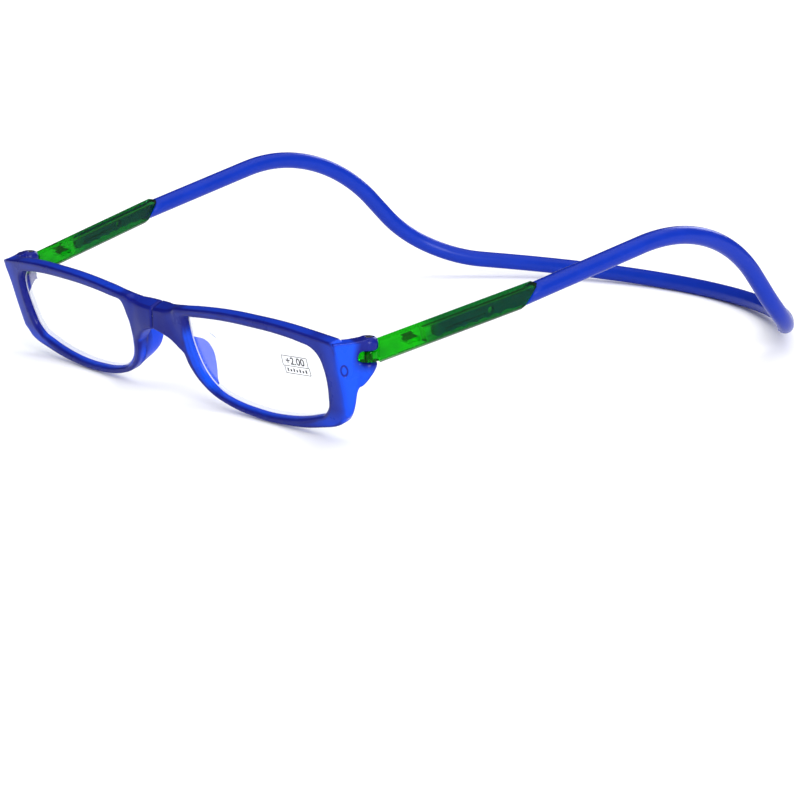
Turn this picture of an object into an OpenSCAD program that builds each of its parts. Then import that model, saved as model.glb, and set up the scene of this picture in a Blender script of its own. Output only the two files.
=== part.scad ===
// Reading glasses whose front parts at the nose. Each half front turns on a
// pin at the end of an arm, and the arms slide on a band behind the neck.
// Millimetres. +X is the wearer's left, +Y the back of the head, +Z up.

/* [Half front] */
// Lean of the front, top edge forward, degrees
front_tilt = 15.6; // [14:0.1:17]
// How far the outer end of the front is bowed back
front_bow = 2.5; // [1.5:0.1:3.5]
// Forward offset of the nose end of the front
front_nose_set = 1.3; // [1:0.05:1.6]
// Depth of the rim, front to back
rim_depth = 3.2; // [2.8:0.1:4]
// Inward lean of the wing towards the table, degrees
wing_lean = 3.5; // [2:0.5:5]
// Height of the foot of the front above the table
front_lift = 0.14; // [0:0.01:0.3]
// Gap between the half fronts at the nose
nose_gap = 0.3; // [0.2:0.02:0.5]

/* [Rim section] */
// Width of the rim at the temple
temple_rim = 5.4; // [4.8:0.1:6]
// Bevel round the front edges of the rim
rim_bevel = 0.5; // [0.3:0.05:0.7]
// Rounding of the back edges of the rim
rim_back_round = 0.8; // [0.4:0.05:1]
// Depth of the lens groove
groove_depth = 0.6; // [0.5:0.05:0.8]
// Half width of the lens groove at its mouth
groove_half = 0.55; // [0.45:0.05:0.7]
// Distance of the groove behind the front of the rim
groove_set = 1.5; // [1.3:0.05:1.7]

/* [Lens] */
// Side clearance between lens and rim
lens_gap = 0.08; // [0.05:0.01:0.12]
// Height of the bevel round the lens
lens_ridge = 0.5; // [0.35:0.05:0.55]
// Thickness at the edge
lens_edge = 1.5; // [1.2:0.1:1.8]
// Rise of the front face
lens_front_rise = 1.3; // [0.8:0.1:2]
// Rise of the back face
lens_back_rise = 1; // [0.5:0.1:1.8]

/* [Magnet] */
// Radius of the disc
magnet_r = 1.6; // [1.3:0.1:1.7]
// Thickness of the disc
magnet_len = 1.6; // [1.2:0.1:2.4]
// Clearance round the disc
magnet_gap = 0.05; // [0.03:0.01:0.1]
// How far the disc sits below the parting face
magnet_sink = 0.2; // [0.1:0.05:0.3]

/* [Hinge] */
// Distance of the pin from the middle
pin_x = 69.4; // [69:0.1:69.8]
// Distance of the pin outside the corner of the front
corner_inset = 1.5; // [1.2:0.05:1.8]
// Distance of the pin behind the foot of the front
pin_set = 3.29; // [3.1:0.01:3.5]
// Radius of the hinge knuckle
knuckle_r = 2.5; // [2.3:0.05:2.7]
// Height of the top of the knuckle
knuckle_top = 25.77; // [25.4:0.01:26.2]
// Height of the top of the fork slot
slot_top = 22.5; // [22.2:0.05:22.8]
// Height of the bottom of the fork slot
slot_bottom = 20; // [19.7:0.05:20.2]
// Clearance above and below the tongue
tongue_gap = 0.1; // [0.05:0.01:0.15]
// Clearance round the tongue
tongue_round_gap = 0.3; // [0.2:0.05:0.4]
// Width of the tongue
tongue_w = 3.8; // [3.2:0.1:4]
// Radius of the hinge screw
screw_r = 0.7; // [0.6:0.05:0.8]
// Radial clearance of the screw
screw_gap = 0.05; // [0.03:0.01:0.08]
// Radius of the screw head
screw_head_r = 1.2; // [1.1:0.05:1.3]
// Height of the screw head
screw_head_h = 0.8; // [0.6:0.05:1]
// How far the head sits below the top of the knuckle
screw_head_sink = 0.15; // [0.1:0.05:0.3]
// Height of the lower end of the screw
screw_end = 17.8; // [17.4:0.1:18.2]
// Depth and width of the screwdriver slot
driver_slot = 0.3; // [0.25:0.05:0.4]
// Outward turn of the hinge wing, degrees
wing_splay = 26; // [24:0.5:28]
// Thickness of the hinge wing
wing_t = 2.8; // [2.4:0.1:3.2]
// Radius of the dimple on the wing
dimple_r = 1.3; // [1:0.1:1.5]
// Depth of the dimple
dimple_depth = 0.4; // [0.2:0.05:0.6]

/* [Arm sleeve] */
// Outward splay of the sleeve, degrees
arm_splay = 8.8; // [8.4:0.1:9.2]
// Upward slope of the sleeve towards the back, degrees
arm_slope = 11.51; // [11.2:0.01:11.8]
// Height of the sleeve axis at the pin
arm_z = 21.52; // [21.3:0.01:21.7]
// Height of the sleeve
sleeve_h = 4.8; // [4.7:0.05:5]
// Width of the sleeve
sleeve_w = 4.2; // [4.1:0.05:4.5]
// Chamfer along the sleeve
sleeve_chamfer = 0.7; // [0.5:0.05:0.8]
// Distance from the pin to the middle of the mouth
sleeve_len = 44; // [43.5:0.1:44.5]
// Slant of the mouth, top edge backward, degrees
mouth_slant = 48; // [44:1:52]
// Height of the cavity
cavity_h = 3.4; // [3.35:0.05:3.5]
// Width of the cavity
cavity_w = 3.1; // [3.05:0.05:3.2]
// Distance from the pin to the front end of the cavity
cavity_start = 14.8; // [14.4:0.1:15.5]
// Distance from the pin to the front of the window
window_start = 9.5; // [9:0.1:10]
// Length of the window
window_len = 3.8; // [3:0.1:4.2]
// Height of the window
window_h = 1.1; // [0.8:0.1:1.4]
// Clearance between the detent rib and the blade
detent_gap = 0.1; // [0.05:0.01:0.15]

/* [Band] */
// Diameter of the band
band_d = 4.5; // [4.2:0.1:4.8]
// Clearance between the band and the sleeve mouth
mouth_gap = 0.3; // [0.2:0.05:0.5]
// Outward heading of the band at the mouth, degrees
band_heading = 2.56; // [2:0.02:3]
// Length of the straight part
band_straight = 32.7; // [30:0.1:35]
// Radius of the side of the band in plan
side_r = 236; // [220:1:250]
// Turn of the side, degrees
side_turn = 12.3; // [11:0.1:13.5]
// Radius of the rear corner in plan
corner_r = 32.1; // [29:0.1:36]
// Turn of the rear corner, degrees
corner_turn = 32.9; // [31:0.1:35]
// Length of the straight flank behind the corner
flank_len = 13.7; // [11:0.1:17]
// Rise of the band behind the mouth, degrees
rise_angle = 11.79; // [11.4:0.01:12.2]
// Plan length of the rise
rise_len = 35.4; // [34:0.1:37]
// Radius of the crest
crest_r = 45.7; // [42:0.1:48]
// Steepest fall of the band, degrees
fall_angle = 46.8; // [45:0.1:48]
// Radius at the foot of the fall
foot_r = 44.2; // [41:0.1:47]
// Slope at the start of the rear, degrees
tail_angle = 5.05; // [4.5:0.01:5.6]

/* [Blade] */
// Thickness of the blade
blade_t = 1.3; // [1.1:0.05:1.35]
// Height of the blade
blade_h = 3; // [2.8:0.05:3.1]
// Distance from the pin to the tip of the blade
blade_start = 17.2; // [16.6:0.1:18]
// Offset of the blade to the outside of the cavity
blade_offset = 0.76; // [0.74:0.01:0.78]
// Pitch of the scallops
scallop_pitch = 3.4; // [3.2:0.1:3.6]
// Depth of the scallops
scallop_depth = 0.45; // [0.3:0.05:0.55]
// Radius of the hole in the blade
blade_hole_r = 0.9; // [0.7:0.05:1]
// Distance of the hole behind the tip of the blade
blade_hole_set = 16; // [15:0.5:17]
// Height of the slit
blade_slit = 0.4; // [0.3:0.05:0.6]
// Distance of the slit behind the tip of the blade
blade_slit_set = 3; // [2.5:0.5:4]

/* [Hidden] */
steps = 7;
detent_r = 0.5;
scallops = 6;
scallops_at = blade_start + 1.4;
scallop_r = scallop_pitch * 0.9;
detent_at = scallops_at + scallop_pitch * (scallops - 0.5);
band_sides = 16;
band_r = band_d / 2;
head_z = knuckle_top - screw_head_sink - screw_head_h;
// Middle of the depth, measured from the front face at the nose.
mid_y = 94.4;
front_y = 6.93 - mid_y;

// Outer corner of the front.
front_x = pin_x - corner_inset;

// Corners of the lens opening as [x, height, radius].
opening = [[12.2, 23.2, 2], [41, 26.1, 150], [front_x - 6.1, 24, 3],
           [front_x - temple_rim, 14.8, 25], [front_x - 7.1, 6, 5], [36, 1.5, 70],
           [18.7, 3.75, 8], [13.9, 8.6, 6], [12, 15.8, 30]];
// Corners of the outside of the rim, in the same order.
outline = [[8, 25, 2], [44, 28.1, 250], [front_x + 0.1, 25, 1.5],
           [front_x - 0.3, 13.8, 20], [front_x - 2.9, 3.8, 8], [38, -1.1, 90],
           [18.2, 1.75, 14], [11.6, 7.1, 8], [8.8, 13.5, 30]];

function unit(v) = v / norm(v);

function corner_arc(a, b, c, n) =
    let (u = unit([a.x - b.x, a.y - b.y]),
         v = unit([c.x - b.x, c.y - b.y]),
         reach = 0.48 * min(norm([a.x - b.x, a.y - b.y]), norm([c.x - b.x, c.y - b.y])),
         half = acos(u * v) / 2,
         t = min(b.z / tan(half), reach),
         r = t * tan(half),
         m = [b.x, b.y] + unit(u + v) * r / sin(half),
         p = [b.x, b.y] + u * t - m,
         q = [b.x, b.y] + v * t - m,
         start = atan2(p.y, p.x),
         turn = (atan2(q.y, q.x) - start + 540) % 360 - 180)
    [for (i = [0:n - 1]) m + r * [cos(start + turn * i / (n - 1)),
                                  sin(start + turn * i / (n - 1))]];

function rounded_loop(c) =
    [for (i = [0:len(c) - 1])
        each corner_arc(c[(i + len(c) - 1) % len(c)], c[i], c[(i + 1) % len(c)], steps)];

opening_loop = rounded_loop(opening);
outline_loop = rounded_loop(outline);
loop_n = len(opening_loop);

// Set of the front face behind the plane of the front at a distance x.
function bow(x) = front_bow * pow(x / front_x, 2) - front_nose_set;

// A stack of rings, each a list of points, joined into a solid.
module skin(rings, closed = false) {
    n = len(rings[0]);
    m = len(rings);
    sides = [for (j = [0:(closed ? m - 1 : m - 2)], i = [0:n - 1])
        let (a = j * n + i, b = j * n + (i + 1) % n,
             c = ((j + 1) % m) * n + (i + 1) % n, d = ((j + 1) % m) * n + i)
        each [[a, b, c], [a, c, d]]];
    caps = closed ? [] : [[for (i = [n - 1:-1:0]) i], [for (i = [0:n - 1]) (m - 1) * n + i]];
    polyhedron([for (r = rings) each r], concat(sides, caps), convexity = 10);
}

module in_front_plane() {
    translate([0, front_y, front_lift]) rotate([front_tilt, 0, 0]) children();
}

// Rim section points as [from outer edge, offset, depth].
function rim_section(x) =
    let (d = rim_depth, r = rim_back_round)
    [[0, 0, rim_bevel], [0, rim_bevel, 0], [1, rim_bevel, 0], [1, 0, rim_bevel],
     [1, 0, d - r], [1, r * 0.3, d - r * 0.3], [1, r, d], [0, r, d],
     [0, r * 0.3, d - r * 0.3], [0, 0, d - r],
     [0, 0, groove_set + groove_half], [0, groove_depth, groove_set],
     [0, 0, groove_set - groove_half]];

module rim() {
    rings = [for (k = [0:loop_n - 1])
        let (a = opening_loop[k], b = outline_loop[k], w = unit(b - a))
        [for (s = rim_section(b.x))
            let (p = s[0] == 0 ? a + w * s[1] : b - w * s[1])
            [p.x, bow(p.x) + s[2], p.y]]];
    skin(rings, closed = true);
}

// Half bridge: sections as [x, points of depth and height].
bridge_sections = [
    [nose_gap / 2, [[-2.3, 19.1], [-1.1, 23.4], [-0.6, 23.9], [2.6, 24.5],
                    [3.2, 24], [2.4, 19.1], [1.7, 18.5], [-1.6, 18.5]]],
    [5.6, [[-2, 17.9], [-1.2, 23.4], [-0.7, 23.9], [1.9, 24.4],
           [2.3, 23.8], [2.2, 18], [1.6, 17.4], [-1.4, 17.4]]],
    [9.2, [[-1.5, 15.1], [-1, 24.4], [-0.5, 25.1], [1.7, 25.2],
           [2.1, 24.6], [2.1, 15.2], [1.6, 14.6], [-1, 14.6]]],
    [11.2, [[-1.3, 14.3], [-1.1, 24.6], [-0.6, 25.3], [1.6, 25.3],
            [2, 24.8], [2, 14.4], [1.6, 13.8], [-0.9, 13.8]]]];
magnet_off = 0.6;
magnet_z = 21.4;

module bridge() {
    skin([for (s = bridge_sections) [for (p = s[1]) [s[0], p[0], p[1]]]]);
}

module magnet_bore(r, x0, x1) {
    translate([x0, magnet_off, magnet_z]) rotate([0, 90, 0]) cylinder(h = x1 - x0, r = r, $fn = 48);
}

// Nose pad fin: root and free edge along the nose side of the rim.
pad_root = [[9.7, 0.6, 17], [10, 0.6, 14.6], [10.3, 0.6, 12], [11, 0.6, 9.2],
            [12.4, 0.6, 6.8], [13.6, 0.6, 5.4], [14.6, 0.6, 4.5]];
pad_edge = [[9.4, 2.6, 16.6], [9.5, 5.2, 14.5], [9.9, 6.4, 11.9], [11, 5.9, 9.1],
            [12.5, 4.2, 6.7], [13.7, 2.6, 5.3], [14.8, 1.2, 4.5]];
pad_root_t = 1.9;
pad_edge_t = 0.9;
pad_sub = 2;

function blend(p, t) =
    let (n = len(p) - 1, i = min(n - 1, floor(t)), f = t - i,
         a = p[max(0, i - 1)], b = p[i], c = p[i + 1], d = p[min(n, i + 2)])
    0.5 * (2 * b + (c - a) * f + (2 * a - 5 * b + 4 * c - d) * f * f
        + (3 * b - a - 3 * c + d) * f * f * f);

module nose_pad() {
    n = (len(pad_root) - 1) * pad_sub;
    skin([for (k = [0:n])
        let (t = k / pad_sub, r = blend(pad_root, t), e = blend(pad_edge, t),
             g = blend(pad_root, min(n / pad_sub, t + 0.2)) - blend(pad_root, max(0, t - 0.2)),
             w = unit([-g.z, 0, g.x]),
             m = r * 0.25 + e * 0.75, mt = pad_edge_t * 1.15)
        [r + w * pad_root_t / 2, m + w * mt / 2, e + w * pad_edge_t * 0.25,
         e - w * pad_edge_t * 0.25, m - w * mt / 2, r - w * pad_root_t / 2]]);
}

// Hinge wing seen from the side: [distance back, height].
wing_side = [[0.05, 24.9], [1.2, 24.7], [2.6, 24.5], [4.6, 24.3], [6.5, 24.2],
             [7.7, 24.2], [8.2, 24], [8.2, 16], [7.1, 15.5], [5.2, 14.2], [3.7, 12.5],
             [2.6, 10.5], [1.7, 8.9], [0.6, 7.7], [0.05, 7.3]];
wing_tip = [front_x, bow(front_x), 0];

wing_hang = 25;

module on_wing() {
    translate(wing_tip + [0, 0, wing_hang]) rotate([0, wing_lean, 0])
        rotate([0, 0, -wing_splay]) translate([0, 0, -wing_hang]) children();
}

module wing_slab(side, t_in, t_out) {
    on_wing() translate([-t_in, 0, 0])
        rotate([90, 0, 90]) linear_extrude(t_in + t_out) polygon(side);
}

module at_pin() {
    translate([pin_x, front_y + pin_set, 0]) children();
}

// Barrel of the knuckle with a rounded top.
module barrel() {
    round_r = 1.5;
    rotate_extrude($fn = 48) polygon(concat([[0, 10], [knuckle_r, 10]],
        [for (a = [0:15:90]) [knuckle_r - round_r + round_r * cos(a),
                              knuckle_top - round_r + round_r * sin(a)]],
        [[0, knuckle_top]]));
}

module knuckle() {
    intersection() {
        at_pin() barrel();
        in_front_plane() wing_slab([[4, 30], [14, 30], [14, 19.1], [9.6, 16.8],
                                    [7.1, 15.5], [5.2, 14.2], [4, 13]], 9, 4);
    }
}

module front_half() {
    difference() {
        union() {
            in_front_plane() {
                rim();
                bridge();
                nose_pad();
                wing_slab(wing_side, wing_t, 0);
            }
            knuckle();
        }
        in_front_plane() {
            magnet_bore(magnet_r + magnet_gap, -1, nose_gap / 2 + magnet_sink + magnet_len + magnet_gap);
            on_wing() translate([0, 1.3, 18.4]) rotate([0, 90, 0])
                translate([0, 0, -dimple_depth]) cylinder(h = 3, r = dimple_r, $fn = 40);
        }
        at_pin() {
            translate([0, 0, slot_bottom])
                cylinder(h = slot_top - slot_bottom, r = knuckle_r + tongue_round_gap, $fn = 48);
            translate([0, 0, screw_end - 0.2])
                cylinder(h = 20, r = screw_r + screw_gap, $fn = 32);
            translate([0, 0, head_z - screw_gap])
                cylinder(h = 5, r = screw_head_r + screw_gap, $fn = 32);
        }
        translate([0, front_y, -5]) translate([-5, -20, 0]) cube([100, 60, 5]);
    }
}

module screw() {
    at_pin() {
        translate([0, 0, screw_end]) cylinder(h = head_z - screw_end + 0.1, r = screw_r, $fn = 32);
        difference() {
            translate([0, 0, head_z]) cylinder(h = screw_head_h, r = screw_head_r, $fn = 32);
            translate([-3, -driver_slot / 2, head_z + screw_head_h - driver_slot])
                cube([6, driver_slot, 1]);
        }
    }
}

module magnet() {
    in_front_plane() magnet_bore(magnet_r, nose_gap / 2 + magnet_sink,
        nose_gap / 2 + magnet_sink + magnet_len);
}

lens_mid = [(opening[0].x + opening[3].x) / 2, 13.9];

module lens() {
    half = lens_edge / 2;
    ridge_half = lens_ridge * groove_half / groove_depth * 0.8;
    rings = [for (k = [0:loop_n - 1])
        let (a = opening_loop[k], b = outline_loop[k], w = unit(b - a), e = a - w * lens_gap)
        [for (f = [0.35, 0.7, 1]) let (p = lens_mid + (e - lens_mid) * f)
            [p.x, bow(p.x) + groove_set - half - lens_front_rise * (1 - f * f), p.y]]];
    backs = [for (k = [0:loop_n - 1])
        let (a = opening_loop[k], b = outline_loop[k], w = unit(b - a), e = a - w * lens_gap)
        [for (f = [1, 0.7, 0.35]) let (p = lens_mid + (e - lens_mid) * f)
            [p.x, bow(p.x) + groove_set + half - lens_back_rise * (1 - f * f), p.y]]];
    edges = [for (k = [0:loop_n - 1])
        let (a = opening_loop[k], b = outline_loop[k], w = unit(b - a),
             e = a - w * lens_gap, tip = a + w * (lens_ridge - 0.05))
        [[e.x, bow(e.x) + groove_set - ridge_half, e.y],
         [tip.x, bow(tip.x) + groove_set, tip.y],
         [e.x, bow(e.x) + groove_set + ridge_half, e.y]]];
    m = 9;
    front_mid = [lens_mid.x, bow(lens_mid.x) + groove_set - half - lens_front_rise, lens_mid.y];
    back_mid = [lens_mid.x, bow(lens_mid.x) + groove_set + half - lens_back_rise, lens_mid.y];
    points = concat([for (k = [0:loop_n - 1]) each concat(rings[k], edges[k], backs[k])],
                    [front_mid, back_mid]);
    top = loop_n * m;
    faces = concat(
        [for (k = [0:loop_n - 1], i = [0:m - 2])
            let (a = k * m + i, b = k * m + i + 1,
                 c = ((k + 1) % loop_n) * m + i + 1, d = ((k + 1) % loop_n) * m + i)
            each [[a, b, c], [a, c, d]]],
        [for (k = [0:loop_n - 1]) [top, k * m, ((k + 1) % loop_n) * m]],
        [for (k = [0:loop_n - 1]) [top + 1, ((k + 1) % loop_n) * m + m - 1, k * m + m - 1]]);
    in_front_plane() polyhedron(points, faces, convexity = 6);
}

// Sleeve frame: y along the arm, z across its height.
module at_arm() {
    translate([pin_x, front_y + pin_set, arm_z]) rotate([0, 0, -arm_splay])
        rotate([arm_slope, 0, 0]) children();
}

module sleeve_bar(from, to) {
    c = sleeve_chamfer;
    w = sleeve_w / 2;
    h = sleeve_h / 2;
    translate([0, to, 0]) rotate([90, 0, 0]) linear_extrude(to - from)
        polygon([[w, c - h], [w, h - c], [w - c, h], [c - w, h],
                 [-w, h - c], [-w, c - h], [c - w, -h], [w - c, -h]]);
}

module behind_mouth(gap) {
    translate([0, sleeve_len, 0]) rotate([-mouth_slant, 0, 0])
        translate([-10, gap, -20]) cube([20, 30, 40]);
}

module sleeve() {
    difference() {
        union() {
            difference() {
                at_arm() sleeve_bar(0, sleeve_len + 5);
                at_pin() translate([0, 0, 10]) cylinder(h = 30, r = knuckle_r + tongue_round_gap, $fn = 48);
            }
            intersection() {
                at_arm() translate([-tongue_w / 2, 0, -5]) cube([tongue_w, 5, 10]);
                at_arm() sleeve_bar(-1, 5);
                at_pin() translate([-10, -10, slot_bottom + tongue_gap])
                    cube([20, 20, slot_top - slot_bottom - 2 * tongue_gap]);
            }
            at_pin() translate([0, 0, slot_bottom + tongue_gap])
                cylinder(h = slot_top - slot_bottom - 2 * tongue_gap, r = knuckle_r - 0.1, $fn = 48);
        }
        at_pin() cylinder(h = 40, r = screw_r + screw_gap, $fn = 32);
        at_arm() {
            behind_mouth(0);
            difference() {
                translate([-cavity_w / 2, cavity_start, -cavity_h / 2]) cube([cavity_w, 60, cavity_h]);
                translate([-cavity_w / 2, detent_at, -blade_h / 2 - detent_gap - detent_r])
                    rotate([0, 90, 0]) cylinder(h = cavity_w, r = detent_r, $fn = 24);
            }
            window();
        }
    }
}

module window() {
    r = window_h / 2;
    translate([-5, window_start + r, 0]) {
        rotate([0, 90, 0]) cylinder(h = 10, r = r, $fn = 24);
        translate([0, 0, -r]) cube([10, window_len - window_h, window_h]);
        translate([0, window_len - window_h, 0]) rotate([0, 90, 0]) cylinder(h = 10, r = r, $fn = 24);
    }
}

// Plan of the band by length, as [x, y, heading]; heading 0 is straight back.
mouth = arm_point(sleeve_len + mouth_gap, 0);
function arm_point(l, h) =
    [pin_x + (l * cos(arm_slope) - h * sin(arm_slope)) * sin(arm_splay),
     front_y + pin_set + (l * cos(arm_slope) - h * sin(arm_slope)) * cos(arm_splay),
     arm_z + l * sin(arm_slope) + h * cos(arm_slope)];

function go(p, l, r) =
    r == 0 ? [p[0] + l * sin(p[2]), p[1] + l * cos(p[2]), p[2]]
           : let (a = p[2] - l / r * 180 / PI)
             [p[0] + r * (cos(a) - cos(p[2])), p[1] + r * (sin(p[2]) - sin(a)), a];

side_len = side_r * side_turn * PI / 180;
corner_len = corner_r * corner_turn * PI / 180;
plan0 = [mouth.x, mouth.y, band_heading];
plan1 = go(plan0, band_straight, 0);
plan2 = go(plan1, side_len, side_r);
plan3 = go(plan2, corner_len, corner_r);
plan4 = go(plan3, flank_len, 0);
rear_turn = 90 + band_heading - side_turn - corner_turn;
rear_r = plan4[0] / sin(rear_turn);
rear_len = rear_r * rear_turn * PI / 180;
plan_len = band_straight + side_len + corner_len + flank_len + rear_len;

function plan(s) =
    s < band_straight ? go(plan0, s, 0)
    : s < band_straight + side_len ? go(plan1, s - band_straight, side_r)
    : s < band_straight + side_len + corner_len
        ? go(plan2, s - band_straight - side_len, corner_r)
    : s < band_straight + side_len + corner_len + flank_len
        ? go(plan3, s - band_straight - side_len - corner_len, 0)
    : go(plan4, s - band_straight - side_len - corner_len - flank_len, rear_r);

// Height of the band by plan length, as [z, slope].
crest_len = crest_r * (sin(rise_angle) + sin(fall_angle));
foot_len = foot_r * (sin(fall_angle) - sin(tail_angle));
rest_len = plan_len - rise_len - crest_len - foot_len;
rest_z = band_r * cos(180 / band_sides);
drop = mouth.z + rise_len * tan(rise_angle) + crest_r * (cos(fall_angle) - cos(rise_angle))
    - foot_r * (cos(tail_angle) - cos(fall_angle)) - rest_z;
fall_len = (drop - rest_len * tan(tail_angle) / 2) / (tan(fall_angle) - tan(tail_angle) / 2);
tail_len = rest_len - fall_len;
z1 = mouth.z + rise_len * tan(rise_angle);
z2 = z1 + crest_r * (cos(fall_angle) - cos(rise_angle));
z3 = z2 - fall_len * tan(fall_angle);
z4 = z3 - foot_r * (cos(tail_angle) - cos(fall_angle));

function height(s) =
    s < rise_len ? [mouth.z + s * tan(rise_angle), rise_angle]
    : s < rise_len + crest_len
        ? let (a = asin(sin(rise_angle) - (s - rise_len) / crest_r))
          [z1 + crest_r * (cos(a) - cos(rise_angle)), a]
    : s < rise_len + crest_len + fall_len
        ? [z2 - (s - rise_len - crest_len) * tan(fall_angle), -fall_angle]
    : s < plan_len - tail_len
        ? let (a = asin(sin(fall_angle) - (s - rise_len - crest_len - fall_len) / foot_r))
          [z3 - foot_r * (cos(a) - cos(fall_angle)), -a]
    : let (t = (plan_len - s) / tail_len)
      [rest_z + tail_len * tan(tail_angle) / 2 * t * t, -atan(tan(tail_angle) * t)];

function band_ring(s) =
    let (p = plan(s), h = height(s),
         along = [sin(p[2]) * cos(h[1]), cos(p[2]) * cos(h[1]), sin(h[1])],
         out = [cos(p[2]), -sin(p[2]), 0], up = cross(out, along))
    [for (i = [0:band_sides - 1]) let (a = (i + 0.5) * 360 / band_sides)
        [p[0], p[1], h[0]] + band_r * (cos(a) * out + sin(a) * up)];

// First ring, brought onto the slanted mouth of the sleeve.
function mouth_ring() =
    let (n = unit(arm_point(cos(mouth_slant), -sin(mouth_slant)) - arm_point(0, 0)),
         m = arm_point(sleeve_len, 0) + n * mouth_gap,
         along = unit(band_centre(1) - band_centre(0)))
    [for (p = band_ring(0)) p - along * ((p - m) * n) / (along * n)];
function band_centre(s) = [plan(s)[0], plan(s)[1], height(s)[0]];
function flip_x(p) = [-p.x, p.y, p.z];

module band_tube() {
    n = 46;
    half = concat([mouth_ring()], [for (i = [1:n]) band_ring(3 + (plan_len - 3) * i / n)]);
    other = [for (i = [n - 1:-1:0]) let (r = half[i])
        [for (p = r) flip_x(p)]];
    skin(concat(half, other));
}

// Blade profile in the arm frame: length along the arm, height across.
module blade() {
    h = blade_h / 2;
    at_arm() translate([blade_offset - blade_t / 2, 0, 0]) rotate([90, 0, 90])
    linear_extrude(blade_t) difference() {
        polygon([[blade_start, -h + 0.9], [blade_start + 0.6, -h + 0.3], [blade_start + 1.2, -h],
                 [sleeve_len - 1.5, -h], [sleeve_len + 1.6, -h + 1.6], [sleeve_len + 3.5, h],
                 [blade_start + 0.9, h], [blade_start, h - 0.9]]);
        for (i = [0:scallops - 1])
            translate([scallops_at + scallop_pitch * (i + 0.5), -h - scallop_r + scallop_depth])
                circle(r = scallop_r, $fn = 96);
        translate([blade_start + blade_slit_set, -0.2 - blade_slit / 2])
            square([blade_hole_set - blade_slit_set, blade_slit]);
        translate([blade_start + blade_hole_set, -0.2]) circle(r = blade_hole_r, $fn = 32);
    }
}

module front_left() { color("royalblue") front_half(); }
module front_right() { color("royalblue") mirror([1, 0, 0]) front_half(); }
module lens_left() { color("lightcyan") lens(); }
module lens_right() { color("lightcyan") mirror([1, 0, 0]) lens(); }
module magnet_left() { color("silver") magnet(); }
module magnet_right() { color("silver") mirror([1, 0, 0]) magnet(); }
module hinge_screw_left() { color("gray") screw(); }
module hinge_screw_right() { color("gray") mirror([1, 0, 0]) screw(); }
module sleeve_left() { color("limegreen") sleeve(); }
module sleeve_right() { color("limegreen") mirror([1, 0, 0]) sleeve(); }

module neckband() {
    color("royalblue") {
        band_tube();
        blade();
        mirror([1, 0, 0]) blade();
    }
}

front_left();
front_right();
lens_left();
lens_right();
magnet_left();
magnet_right();
hinge_screw_left();
hinge_screw_right();
sleeve_left();
sleeve_right();
neckband();
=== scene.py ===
# %% [markdown]
# # Reading glasses that part at the nose
#
# The real thing is two moulded half fronts in frosted blue plastic, each with a clear lens.
# A magnet in each half holds them together over the nose. Behind each hinge sits a clear
# green sleeve, and a blue neckband slides into both sleeves on a toothed blade.
# The measured solids come first, because everything made here has to lie on them.

# %% Measured frame
from math import acos, asin, atan2, cos, degrees, pi, radians, sin, tan

import bmesh
import bpy
import numpy
from mathutils import Matrix, Vector
from mathutils.bvhtree import BVHTree


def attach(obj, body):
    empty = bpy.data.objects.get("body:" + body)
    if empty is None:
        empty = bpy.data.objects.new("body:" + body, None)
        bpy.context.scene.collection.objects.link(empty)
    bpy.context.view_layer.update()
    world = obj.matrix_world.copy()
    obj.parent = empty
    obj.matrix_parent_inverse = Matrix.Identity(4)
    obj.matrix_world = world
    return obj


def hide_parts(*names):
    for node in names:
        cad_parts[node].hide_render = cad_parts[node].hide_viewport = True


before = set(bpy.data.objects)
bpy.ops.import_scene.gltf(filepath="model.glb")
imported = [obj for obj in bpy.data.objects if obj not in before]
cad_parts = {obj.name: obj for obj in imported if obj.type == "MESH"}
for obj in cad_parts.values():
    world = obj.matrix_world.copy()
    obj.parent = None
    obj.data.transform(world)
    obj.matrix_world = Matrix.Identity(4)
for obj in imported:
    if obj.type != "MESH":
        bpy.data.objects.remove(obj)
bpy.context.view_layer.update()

MM = 0.001
print("solids in the frame:", len(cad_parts))

# %% [markdown]
# ## The eye
#
# The photograph looks down on the glasses from the front right, with a long lens from
# about three quarters of a metre. A long lens keeps the two arms almost parallel. A wide
# one from closer by would make the near lens much larger than the far one.
# The camera is made first, so each piece can be judged from the right place.

# %% Camera
def placed(name, data):
    """A new object in the scene."""
    thing = bpy.data.objects.new(name, data)
    bpy.context.scene.collection.objects.link(thing)
    return thing


eye = placed("eye", bpy.data.cameras.new("eye"))
eye.location = (0.5846, -0.50743, 0.1734)
eye.rotation_euler = (radians(76.29), radians(0.459), radians(49.859))
eye.data.sensor_width = 36
eye.data.lens = 135.547
bpy.context.scene.camera = eye
bpy.context.scene.view_settings.view_transform = "Standard"
print("camera stands", round(eye.location.length, 3), "m from the middle of the glasses")

# %% [markdown]
# ## Table
#
# A plain white sheet stands in for the table. It lies a hair below the glasses, so that the
# two never share a surface. The helpers start a node material and add the nodes that most
# materials here share.

# %% Helpers for materials
def adder(tree):
    """A short way to add nodes to a tree."""

    def add(kind, values=(), **settings):
        node = tree.nodes.new("ShaderNode" + kind)
        for key, value in settings.items():
            setattr(node, key, value)
        for socket, value in dict(values).items():
            if isinstance(value, bpy.types.NodeSocket):
                tree.links.new(value, node.inputs[socket])
            else:
                node.inputs[socket].default_value = value
        return node

    return add


def new_material(name):
    """An empty node material and its adder."""
    material = bpy.data.materials.new(name)
    material.use_nodes = True
    material.node_tree.nodes.clear()
    return material, adder(material.node_tree)


def noise(add, scale, detail, **more):
    """A cloudy pattern on the object, with so many waves to the metre."""
    place = add("TexCoord").outputs["Object"]
    return add("TexNoise", {"Vector": place, "Scale": scale, "Detail": detail, **more}).outputs["Fac"]


def ranged(add, value, low, high, new_low=0.0, new_high=1.0):
    """The value, with low to high stretched to new_low to new_high."""
    limits = {"From Min": low, "From Max": high, "To Min": new_low, "To Max": new_high}
    return add("MapRange", {"Value": value, **limits}).outputs["Result"]


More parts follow.
